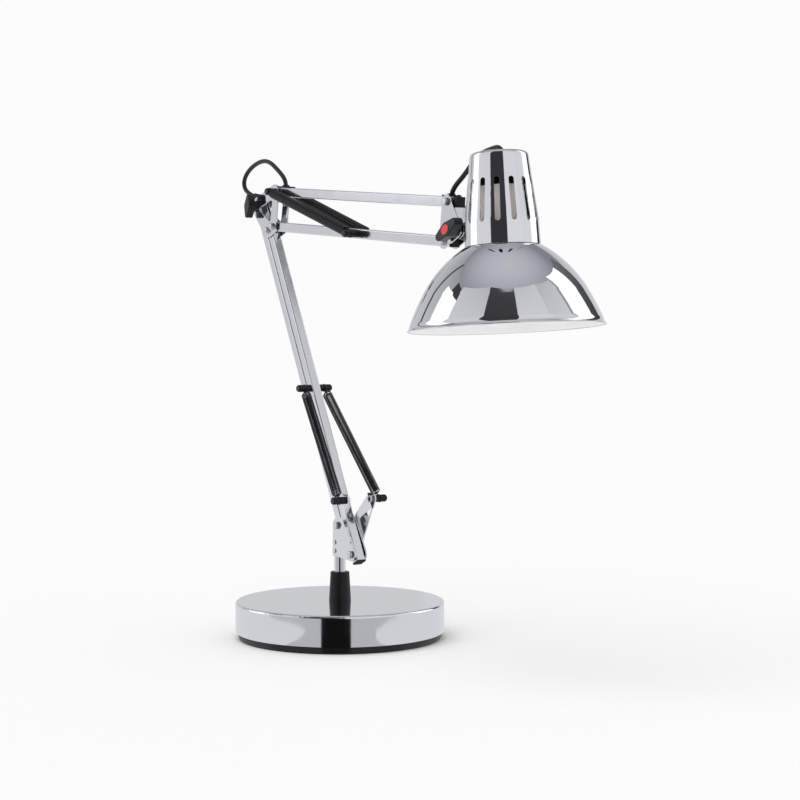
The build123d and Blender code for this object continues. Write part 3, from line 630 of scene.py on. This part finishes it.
@dataclass
class Studio:
    """Camera, floor, light and the panels that the chrome mirrors."""

    view_azimuth: float = 57.0
    view_drop: float = 2.67
    camera_place: Point = (1.72484, -1.04572, 0.34075)
    lens: float = 87.75
    sensor: float = 36.0
    backdrop: float = 0.972
    floor_colour: float = 0.93
    floor_half: float = 40.0
    fill_level: float = 0.78
    sun_strength: float = 0.95
    sun_softness: float = 55.0
    sun_azimuth: float = -50.0
    sun_height: float = 62.0
    eye: Point = (0.292, 0.0, 0.36)
    cool: Colour = (0.985, 1.0, 1.035)
    cards: tuple[Card, ...] = (
        Card("card_dark", -39.5, 12.0, -4.0, 62.2, 63.4, 0.036, 0.060, (1.0, 0.97, 1.08)),
        Card("card_right_grey", 12.0, 60.0, -4.0, 64.0, 61.0, 0.84, 0.62),
        Card("card_right_shade", 60.0, 97.0, -4.0, 61.0, 53.0, 0.84, 0.50),
        Card("card_right_seam", 93.5, 97.5, 26.0, 53.5, 52.5, 0.34, 0.34, distance=5.9),
        Card("card_right_white", 97.0, 128.0, -4.0, 56.0, 46.0, 1.40, 1.30),
        Card("card_right_dark", 128.0, 145.0, -4.0, 46.0, 40.0, 0.01, 0.20),
        Card("card_right_far", 145.0, 180.0, -4.0, 30.0, 34.0, 0.72, 0.55),
        Card("card_left_grey", -89.0, -39.5, -4.0, 49.5, 62.5, 0.80, 0.52),
        Card("card_left_white", -117.0, -89.0, 4.5, 38.0, 42.0, 1.40, 1.30),
        Card("card_left_pale", -134.0, -89.0, -4.0, 48.0, 49.0, 0.68, 0.34, distance=6.2),
        Card("card_left_patch", -105.0, -88.0, 36.0, 47.5, 47.0, 0.05, 0.05, distance=6.1),
        Card("card_left_line", -136.0, -132.5, 8.0, 48.0, 48.0, 0.06, 0.06, distance=5.9),
        Card("card_left_far", -180.0, -134.0, -4.0, 40.0, 48.0, 0.68, 0.36),
    )
    flats: tuple[FlatCard, ...] = (
        FlatCard("card_elbow", 0.22, (
            (-0.020, 0.150, 0.8177), (0.042, 0.156, 0.7109), (0.117, 0.203, 0.5817),
            (-0.020, 0.203, 0.8177))),
    )
    grounds: tuple[GroundCard, ...] = (
        GroundCard("ground_pale", 0.76, 0.0004, ((-6.5, -6.5), (6.5, -6.5), (6.5, 6.5), (-6.5, 6.5))),
        GroundCard("ground_grey", 0.53, 0.0008, (
            (0.083, -0.0745), (0.1304, -0.0915), (0.1687, -0.0968), (0.2201, -0.1126), (0.226, -0.150),
            (0.209, -0.1996), (0.1215, -0.2821), (0.0, -0.75), (-0.6, -6.3), (6.3, -6.3), (6.3, 6.3),
            (-0.4, 6.3), (0.05, 0.90), (0.1855, 0.2614), (0.2106, 0.1981), (0.2062, 0.1302),
            (0.1683, 0.0971), (0.1396, 0.0835), (0.083, 0.0745))),
        GroundCard("ground_dark", 0.004, 0.0012, (
            (0.104, -0.0145), (6.0, -2.003), (6.0, 1.434), (0.104, 0.0132))),
    )
    card_step: float = 3.0
    card_fewest: int = 6
    dome_rings: int = 24
    dome_sides: int = 64
    dome_radius: float = 24.0
    dome_from: float = -2.0
    dome_span: float = 92.0
    dome_dark_up_to: float = 46.0
    ceiling_low: Colour = (0.255, 0.265, 0.295)
    ceiling_high: Colour = (0.565, 0.575, 0.605)

    def direction(self, azimuth: float, elevation: float) -> Vector:
        """The way to something seen from the lamp, as turned from the camera.

        Args:
            azimuth: Degrees to the camera's right of straight behind it.
            elevation: Degrees above the horizon.

        Returns:
            A vector of length 1.
        """
        turn = math.radians(self.view_azimuth)
        to_camera = Vector((math.sin(turn), -math.cos(turn), 0.0))
        right = Vector((math.cos(turn), math.sin(turn), 0.0))
        aside, up = math.radians(azimuth), math.radians(elevation)
        level = math.cos(aside) * to_camera + math.sin(aside) * right
        return math.cos(up) * level + Vector((0.0, 0.0, math.sin(up)))

    def build(self) -> None:
        """Builds everything that isn't the lamp."""
        self.make_camera()
        self.make_world()
        self.make_sun()
        self.make_floor()
        for card in self.cards:
            self.make_card(card)
        for flat in self.flats:
            self.make_flat(flat.name, flat.level, flat.corners)
        for ground in self.grounds:
            self.make_ground(ground)
        self.make_ceiling()

    def make_camera(self) -> None:
        """Stands the camera where the product view is taken from."""
        data = bpy.data.cameras.new("view")
        data.lens = self.lens
        data.sensor_width = self.sensor
        data.clip_start = 0.05
        data.clip_end = 200.0
        camera = bpy.data.objects.new("view", data)
        bpy.context.scene.collection.objects.link(camera)
        camera.location = self.camera_place
        look = -self.direction(0.0, self.view_drop)
        camera.rotation_mode = "QUATERNION"
        camera.rotation_quaternion = look.to_track_quat("-Z", "Y")
        bpy.context.scene.camera = camera

    def make_world(self) -> None:
        """A white backdrop, with an even fill for everything but the camera's own rays."""
        world = bpy.data.worlds.new("studio")
        bpy.context.scene.world = world
        world.use_nodes = True
        nodes, links = world.node_tree.nodes, world.node_tree.links
        shown = nodes.new("ShaderNodeBackground")
        shown.inputs["Strength"].default_value = self.backdrop
        shown.inputs["Color"].default_value = WHITE
        fill = nodes["Background"]
        fill.inputs["Color"].default_value = WHITE
        fill.inputs["Strength"].default_value = self.fill_level
        path = nodes.new("ShaderNodeLightPath")
        mix = nodes.new("ShaderNodeMixShader")
        links.new(path.outputs["Is Camera Ray"], mix.inputs["Fac"])
        links.new(fill.outputs[0], mix.inputs[1])
        links.new(shown.outputs[0], mix.inputs[2])
        links.new(mix.outputs[0], nodes["World Output"].inputs["Surface"])

    def make_sun(self) -> None:
        """One broad soft light from above the camera's left."""
        data = bpy.data.lights.new("key", "SUN")
        data.energy = self.sun_strength
        data.angle = math.radians(self.sun_softness)
        light = bpy.data.objects.new("key", data)
        light.visible_glossy = False
        bpy.context.scene.collection.objects.link(light)
        light.rotation_mode = "QUATERNION"
        shining = -self.direction(self.sun_azimuth, self.sun_height)
        light.rotation_quaternion = shining.to_track_quat("-Z", "Y")

    def make_floor(self) -> None:
        """A plain white floor to the horizon."""
        reach = self.floor_half
        corners = [(-reach, -reach, 0.0), (reach, -reach, 0.0), (reach, reach, 0.0), (-reach, reach, 0.0)]
        floor = mesh_piece("floor", corners, [(0, 1, 2, 3)])
        material = bpy.data.materials.new("floor_white")
        material.use_nodes = True
        nodes, links = material.node_tree.nodes, material.node_tree.links
        nodes.remove(nodes["Principled BSDF"])
        matt = nodes.new("ShaderNodeBsdfDiffuse")
        matt.inputs["Color"].default_value = (self.floor_colour, self.floor_colour, self.floor_colour, 1.0)
        links.new(matt.outputs[0], nodes["Material Output"].inputs["Surface"])
        floor.data.materials.append(material)

    def mirrored_only(self, piece: bpy.types.Object) -> None:
        """Leaves a piece to be seen in polished surfaces and nowhere else.

        Args:
            piece: A panel or the dome.
        """
        piece.visible_camera = False
        piece.visible_diffuse = False
        piece.visible_shadow = False
        piece.visible_transmission = False
        piece.visible_volume_scatter = False

    def glow(self, name: str, low: Colour, high: Colour, start: float, end: float) -> bpy.types.Material:
        """A plain glow that changes with height.

        Args:
            name: The material's name.
            low: Its colour and level at the lower height.
            high: The same at the upper height.
            start: The lower height in metres.
            end: The upper height.

        Returns:
            The material.
        """
        material = bpy.data.materials.new(name)
        material.use_nodes = True
        nodes, links = material.node_tree.nodes, material.node_tree.links
        nodes.remove(nodes["Principled BSDF"])
        place = nodes.new("ShaderNodeTexCoord")
        split = nodes.new("ShaderNodeSeparateXYZ")
        span = nodes.new("ShaderNodeMapRange")
        mix = nodes.new("ShaderNodeMix")
        mix.data_type = "RGBA"
        mix.inputs["A"].default_value = (*low, 1.0)
        mix.inputs["B"].default_value = (*high, 1.0)
        span.inputs["From Min"].default_value = start
        span.inputs["From Max"].default_value = end
        light = nodes.new("ShaderNodeEmission")
        links.new(place.outputs["Object"], split.inputs[0])
        links.new(split.outputs["Z"], span.inputs["Value"])
        links.new(span.outputs[0], mix.inputs["Factor"])
        links.new(mix.outputs["Result"], light.inputs["Color"])
        links.new(light.outputs[0], nodes["Material Output"].inputs["Surface"])
        return material

    def make_card(self, card: Card) -> None:
        """Builds one curved panel round the shade.

        Args:
            card: The panel's edges and levels.
        """
        steps = max(self.card_fewest, round((card.right - card.left) / self.card_step))
        points = []
        for upper in (False, True):
            for step in range(steps + 1):
                share = step / steps
                azimuth = card.left + (card.right - card.left) * share
                up = card.high_left + (card.high_right - card.high_left) * share if upper else card.low
                flat = self.direction(azimuth, 0.0) * card.distance
                points.append((self.eye[0] + flat.x, self.eye[1] + flat.y,
                               self.eye[2] + card.distance * math.tan(math.radians(up))))
        piece = mesh_piece(card.name, points, grid_faces(2, steps + 1, closed=False))
        low = tuple(card.level_low * part * cool for part, cool in zip(card.tint, self.cool))
        high = tuple(card.level_high * part * cool for part, cool in zip(card.tint, self.cool))
        top = max(point[2] for point in points)
        piece.data.materials.append(self.glow(card.name, low, high, self.eye[2], top))
        self.mirrored_only(piece)

    def make_flat(self, name: str, level: float, corners: Sequence[Point]) -> None:
        """Builds one flat panel with an even glow.

        Args:
            name: The panel's name.
            level: How bright it glows.
            corners: Its corners in metres.
        """
        piece = mesh_piece(name, corners, [tuple(range(len(corners)))])
        colour = tuple(level * cool for cool in self.cool)
        piece.data.materials.append(self.glow(name, colour, colour, 0.0, 1.0))
        self.mirrored_only(piece)

    def make_ground(self, ground: GroundCard) -> None:
        """Lays one flat panel over the floor.

        Args:
            ground: The panel's corners, height and level.
        """
        towards, right = self.direction(0.0, 0.0), self.direction(90.0, 0.0)
        spots = [towards * ahead + right * aside for ahead, aside in ground.corners]
        self.make_flat(ground.name, ground.level, [(spot.x, spot.y, ground.height) for spot in spots])

    def make_ceiling(self) -> None:
        """A grey dome over the panels, brighter overhead."""
        rings, sides, radius = self.dome_rings, self.dome_sides, self.dome_radius
        points = []
        for ring in range(rings + 1):
            up = math.radians(self.dome_from + self.dome_span * ring / rings)
            for side in range(sides):
                around = FULL_TURN * side / sides
                points.append((radius * math.cos(up) * math.cos(around),
                               radius * math.cos(up) * math.sin(around), radius * math.sin(up)))
        piece = mesh_piece("studio_dome", points, grid_faces(rings + 1, sides))
        low_height = radius * math.sin(math.radians(self.dome_dark_up_to))
        piece.data.materials.append(
            self.glow("studio_dome", self.ceiling_low, self.ceiling_high, low_height, radius))
        self.mirrored_only(piece)


# ---- the lamp's own parts ----
@dataclass
class Assembly:
    """What every sub-assembly of the lamp shares."""

    frame: dict
    palette: Palette

    def dress(self, finish: Finish, *nodes: str) -> None:
        """Puts a finish on modelled parts that stay as they are."""
        for node in nodes:
            self.palette.dress(self.frame["nodes"][node], finish)

    def add(self, piece: bpy.types.Object, finish: Finish, slot: Slot, *stands_for: str) -> None:
        """Finishes a new piece and hides the parts that it stands for.

        Args:
            piece: The new piece.
            finish: Its finish.
            slot: The record's slot for it; not used.
            stands_for: Nodes that it replaces.
        """
        self.palette.dress(piece, finish)
        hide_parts(*stands_for)
        LOG.info("made %s", piece.name)


@dataclass
class WeightedBase(Assembly):
    """The drum with its foot, weight and socket."""

    def build(self) -> None:
        """Dresses the base."""
        self.dress(Finish.DRUM, "base_cover")
        self.dress(Finish.FOOT, "base_foot")
        self.dress(Finish.IRON, "base_weight")
        self.dress(Finish.PLASTIC, "socket_sleeve", "socket_bush")
        self.dress(Finish.FASTENER, "socket_nut")


@dataclass
class Swivel(Assembly):
    """The post and the lower bracket."""

    def build(self) -> None:
        """Dresses the swivel."""
        self.dress(Finish.SHEET, "post", "lower_plate_front", "lower_plate_rear")
        self.dress(Finish.FASTENER, "post_rivets", "lower_pivot_bolts", "lower_pivot_nuts", "anchor_nuts")
        self.dress(Finish.BLACKED, "anchor_screws")
        self.dress(Finish.PLASTIC, "lower_washers", "anchor_bushes")


@dataclass
class Spring:
    """One close-wound coil spring with a hook at each end."""

    start: Vector
    end: Vector
    coil_radius: float = 5.2 * MM
    wire_radius: float = 0.62 * MM
    pitch: float = 1.95 * MM
    eye_radius: float = 3.75 * MM
    hook: float = 6.6 * MM
    drawn_in: float = 0.45
    turn_steps: int = 20
    sides: int = 6
    eye_steps: int = 28
    eye_gap: float = 18.0
    shank: tuple[tuple[float, float], ...] = ((1.2, 0.4), (2.6, 0.0))
    tail: float = 3.0

    def axes(self) -> tuple[Vector, Vector, Vector]:
        """The spring's own three directions, each of length 1.

        Returns:
            Along the spring, across it in the arm plane, and square to both.
        """
        ahead = (self.end - self.start).normalized()
        square = Vector((0.0, 1.0, 0.0))
        square = (square - ahead * square.dot(ahead)).normalized()
        return ahead, square.cross(ahead), square

    def coils(self) -> Mesh:
        """The wound wire from hook to hook, the ends drawn in to the middle.

        Returns:
            The points and the faces.
        """
        ahead, across, square = self.axes()
        length = (self.end - self.start).length - 2 * self.hook
        middle = self.coil_radius - self.wire_radius
        turns = round(length / self.pitch)
        count = turns * self.turn_steps
        line = []
        for step in range(count + 1):
            share = step / count
            angle = FULL_TURN * turns * share
            from_end = min(share, 1 - share) * turns
            radius = middle * min(1.0, self.drawn_in + (1 - self.drawn_in) * from_end)
            place = self.start + ahead * (self.hook + length * share)
            line.append(place + radius * (math.cos(angle) * across + math.sin(angle) * square))
        return tube_mesh(line, self.wire_radius, self.sides)

    def hook_wire(self, centre: Vector, towards: Vector) -> Mesh:
        """The eye round a bush and the straight wire from it into the coils.

        Args:
            centre: The bush's middle.
            towards: The way to the coils, of length 1.

        Returns:
            The points and the faces.
        """
        _, _, square = self.axes()
        side = square.cross(towards)
        line = []
        open_angle = math.radians(self.eye_gap)
        for step in range(self.eye_steps + 1):
            angle = open_angle + (FULL_TURN - 2 * open_angle) * step / self.eye_steps
            line.append(centre + self.eye_radius * (math.cos(angle) * towards + math.sin(angle) * side))
        line = line[::-1]
        for ahead, aside in self.shank:
            line.append(centre + towards * (self.eye_radius + ahead * MM) + side * aside * MM)
        line.append(centre + towards * (self.hook + self.tail * MM))
        return tube_mesh(line, self.wire_radius, self.sides)


@dataclass
class SpringArm(Assembly):
    """An arm with a spring on each side of it."""

    def pair(self, name: str, spring: Spring, part: Callable) -> bpy.types.Object:
        """Makes one piece of both springs' like parts.

        Args:
            name: The piece's name.
            spring: The spring at -Y.
            part: Gives points and faces of a part of a spring.

        Returns:
            The piece.
        """
        other = replace(spring, start=mirror_point(spring.start), end=mirror_point(spring.end))
        return mesh_piece(name, *joined([part(spring), part(other)]))

    def wound(self, spring: Spring) -> Mesh:
        """The coils and the hook where the spring starts."""
        ahead, _, _ = spring.axes()
        return joined([spring.coils(), spring.hook_wire(spring.start, ahead)])

    def far_hook(self, spring: Spring) -> Mesh:
        """The hook where the spring ends."""
        ahead, _, _ = spring.axes()
        return spring.hook_wire(spring.end, -ahead)


@dataclass
class LowerArm(SpringArm):
    """The two lower tubes and their springs."""

    bush_side: float = 12.15 * MM
    foot_inset: float = 7.0 * MM

    def build(self) -> None:
        """Dresses the tubes and winds the springs."""
        self.dress(Finish.TUBE, "lower_tube_front", "lower_tube_rear")
        self.dress(Finish.PLASTIC, "front_tube_plug", "rear_tube_plug", "rear_tube_grommet",
                   "lower_pin_bushes")
        self.dress(Finish.BLACKED, "lower_spring_pin")
        foot = joint_place(self.frame, "lower_spring_swing")
        foot.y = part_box("anchor_bushes")[0].y + self.foot_inset
        top = joint_place(self.frame, "lower_spring_eye_turn")
        top.y = -self.bush_side
        spring = Spring(foot, top)
        coils = self.pair("lower_coils", spring, self.wound)
        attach(coils, "lower_spring")
        self.add(coils, Finish.WIRE, Slot.SPRING, "lower_spring_coils")
        eyes = self.pair("lower_eyes", spring, self.far_hook)
        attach(eyes, "lower_spring_eye")
        self.add(eyes, Finish.WIRE, Slot.SPRING, "lower_spring_eyes")


@dataclass
class Lead(Assembly):
    """A short round lead between two grommets."""

    diameter: float = 4.8 * MM
    shrink: float = 0.02 * MM
    sides: int = 16

    def tube(self, name: str, line: Sequence[Vector]) -> bpy.types.Object:
        """Makes one stretch of lead.

        Args:
            name: The piece's name.
            line: Points down its middle.

        Returns:
            The piece.
        """
        piece = mesh_piece(name, *tube_mesh(line, self.diameter / 2 - self.shrink, self.sides))
        return piece


@dataclass
class Elbow(Lead):
    """The elbow plates and the loop of lead over them."""

    route: tuple[tuple[float, float], ...] = (
        (-176.7, 464.3), (-198.7, 469.3), (-207.7, 481.8), (-196.2, 494.3), (-172.2, 502.8),
        (-149.4, 502.9), (-127.4, 490.9), (-110.3, 478.7), (-110.9, 470.4),
    )

    def build(self) -> None:
        """Dresses the elbow and lays the loop."""
        self.dress(Finish.SHEET, "elbow_plate_front", "elbow_plate_rear")
        self.dress(Finish.BLACKED, "elbow_bolts")
        self.dress(Finish.FASTENER, "elbow_nuts")
        self.dress(Finish.PLASTIC, "elbow_washers", "elbow_bushes")
        self.dress(Finish.KNOB, "elbow_knob")
        line = smooth_line([(x * MM, 0.0, z * MM) for x, z in self.route])
        side = min(range(len(line)), key=lambda number: line[number].x)
        top = max(line, key=lambda point: point.z)
        for name, part, body, end in (("elbow_lead_lower", line[:side + 1], "rear_tube", line[side]),
                                      ("elbow_lead_upper", line[side:][::-1], "high_tube", top)):
            piece = self.tube(name, part)
            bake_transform(piece)
            self.add(piece, Finish.JACKET, Slot.JACKET, "elbow_cable")


@dataclass
class UpperArm(SpringArm):
    """The two upper tubes and their springs."""

    bush_root: float = 13.45 * MM
    bush_side: float = 12.0 * MM

    def build(self) -> None:
        """Dresses the tubes and winds the springs."""
        self.dress(Finish.TUBE, "upper_tube_low", "upper_tube_high")
        self.dress(Finish.PLASTIC, "low_tube_plug", "high_tube_plugs", "high_tube_grommets",
                   "upper_pin_bushes")
        self.dress(Finish.BLACKED, "upper_spring_pin")
        root = joint_place(self.frame, "upper_spring_swing")
        root.y = -self.bush_root
        far = middle_of("upper_spring_pin")
        far.y = -self.bush_side
        spring = Spring(root, far, wire_radius=0.6 * MM, pitch=1.205 * MM)
        coils = self.pair("upper_coils", spring, self.wound)
        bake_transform(coils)
        self.add(coils, Finish.WIRE, Slot.SPRING, "upper_spring_coils", "upper_spring_tails")
        eyes = self.pair("upper_eyes", spring, self.far_hook)
        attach(eyes, "low_tube")
        self.add(eyes, Finish.WIRE, Slot.SPRING, "upper_spring_eyes")


@dataclass
class HeadBracket(Lead):
    """The end plates, the tilt knob and the lead to the head."""

    route: tuple[tuple[float, float], ...] = (
        (203.6, 445.8), (204.2, 452.9), (226.1, 466.3), (245.6, 482.0),
        (262.1, 486.2), (285.2, 489.0), (286.2, 475.9),
    )

    def build(self) -> None:
        """Dresses the bracket and lays the lead."""
        self.dress(Finish.SHEET, "head_plate_front", "head_plate_rear")
        self.dress(Finish.FASTENER, "head_bolts", "head_nuts")
        self.dress(Finish.PLASTIC, "head_washers")
        self.dress(Finish.KNOB, "head_knob")
        self.dress(Finish.RED, "head_knob_cap")
        line = smooth_line([(x * MM, 0.0, z * MM) for x, z in self.route])
        piece = self.tube("head_lead", line)
        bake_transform(piece)
        self.add(piece, Finish.JACKET, Slot.JACKET, "head_cable")


@dataclass(frozen=True)
class Bend:
    """Three points of a curve's outline, as (radius, height) in millimetres."""

    start: tuple[float, float]
    middle: tuple[float, float]
    end: tuple[float, float]

    def points(self, steps: int) -> Outline:
        """Points along the circular arc, the last one left out.

        Args:
            steps: Runs along the arc.

        Returns:
            Points (radius, height) in millimetres.
        """
        (ax, ay), (bx, by), (cx, cy) = self.start, self.middle, self.end
        twice = 2 * (ax * (by - cy) + bx * (cy - ay) + cx * (ay - by))
        a, b, c = ax * ax + ay * ay, bx * bx + by * by, cx * cx + cy * cy
        x = (a * (by - cy) + b * (cy - ay) + c * (ay - by)) / twice
        y = (a * (cx - bx) + b * (ax - cx) + c * (bx - ax)) / twice
        radius = math.hypot(ax - x, ay - y)
        first, last = math.atan2(ay - y, ax - x), math.atan2(cy - y, cx - x)
        turn = (last - first + math.pi) % FULL_TURN - math.pi
        angles = [first + turn * step / steps for step in range(steps)]
        return [(x + radius * math.cos(angle), y + radius * math.sin(angle)) for angle in angles]


@dataclass
class Head(Assembly):
    """Shade, cooling cup and lampholder."""

    tilt: float = 4.5
    shade_top: float = 75.0
    hole_radius: float = 18.2
    sides: int = 288
    bends: tuple[Bend, ...] = (
        Bend((35.6, 75.0), (61.4, 53.2), (76.9, 30.4)),
        Bend((76.9, 30.4), (84.0, 16.0), (88.2, 6.0)),
        Bend((88.2, 6.0), (89.2, 3.0), (90.9, 0.95)),
    )
    bend_steps: tuple[int, ...] = (40, 14, 8)
    flange: float = 1.5
    thin_side: float = 0.8
    thin_down: float = 0.95
    shell_depth: float = 0.48
    lining_depth: float = 0.52
    bare_rim: int = 2
    mouth_from_hinge: Point = (69.627, 0.0, -92.2)

    def build(self) -> None:
        """Dresses the head and spins the shade."""
        self.dress(Finish.SHADE, "cooling_cup")
        self.dress(Finish.SHEET, "cup_bracket")
        self.dress(Finish.PLASTIC, "cup_grommet", "lampholder_cap", "shade_ring")
        self.dress(Finish.HOLDER, "lampholder_body")
        self.dress(Finish.BRASS, "lampholder_shell", "lampholder_contact")
        for name, outer, inner, spare, finish in (
                ("shade_shell", 0.0, self.shell_depth, 0, Finish.SHADE),
                ("shade_lining", self.lining_depth, 1.0, self.bare_rim, Finish.ENAMEL)):
            loop = self.curve(outer, spare) + self.curve(inner, spare)[::-1]
            piece = mesh_piece(name, *self.spun(loop))
            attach(piece, "head")
            self.add(piece, finish, Slot.SHEET, "shade")

    def curve(self, depth: float, spare: int) -> Outline:
        """The shade's outline at a share of the sheet's thickness, from its hole towards its rim.

        Args:
            depth: 0 for the outside of the sheet and 1 for the inside.
            spare: How many points at the rim are left out.

        Returns:
            Points (radius, height) in millimetres.
        """
        line = [(self.hole_radius, self.shade_top), (self.bends[0].start[0] - self.flange, self.shade_top)]
        for bend, steps in zip(self.bends, self.bend_steps):
            line += bend.points(steps)
        line.append(self.bends[-1].end)
        side, down = self.thin_side * depth, self.thin_down * depth
        moved = [(radius - side, height - down) for radius, height in line]
        moved[0] = (self.hole_radius, moved[0][1])
        return moved[:len(moved) - spare]

    def spun(self, loop: Outline) -> Mesh:
        """Spins a closed outline round the head's axis.

        Args:
            loop: Points (radius, height) in millimetres, without repeating the first.

        Returns:
            The points in the lamp's frame and the faces.
        """
        turn = Matrix.Translation(self.rim_middle()) @ Matrix.Rotation(math.radians(-self.tilt), 4, "Y")
        points = []
        for radius, height in loop:
            for side in range(self.sides):
                angle = FULL_TURN * side / self.sides
                local = Vector((radius * math.cos(angle), radius * math.sin(angle), height)) * MM
                points.append(turn @ local)
        faces = grid_faces(len(loop), self.sides)
        last = (len(loop) - 1) * self.sides
        for side in range(self.sides):
            after = (side + 1) % self.sides
            faces.append((last + side, last + after, after, side))
        return points, faces

    def rim_middle(self) -> Vector:
        """The middle of the shade's mouth, from the hinge that carries the head."""
        hinge = joint_place(self.frame, "head_tilt")
        return hinge + Vector(self.mouth_from_hinge) * MM


def main() -> None:
    """Loads the lamp and dresses it, part by part."""
    logging.basicConfig(level=logging.INFO, format="%(name)s %(message)s")
    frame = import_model()
    bpy.context.scene.view_settings.view_transform = "Standard"
    Studio().build()
    palette = Palette()
    for assembly in (WeightedBase, Swivel, LowerArm, Elbow, UpperArm, HeadBracket, Head):
        assembly(frame, palette).build()
        LOG.info("dressed %s", assembly.__name__)


if __name__ == "__main__":
    main()
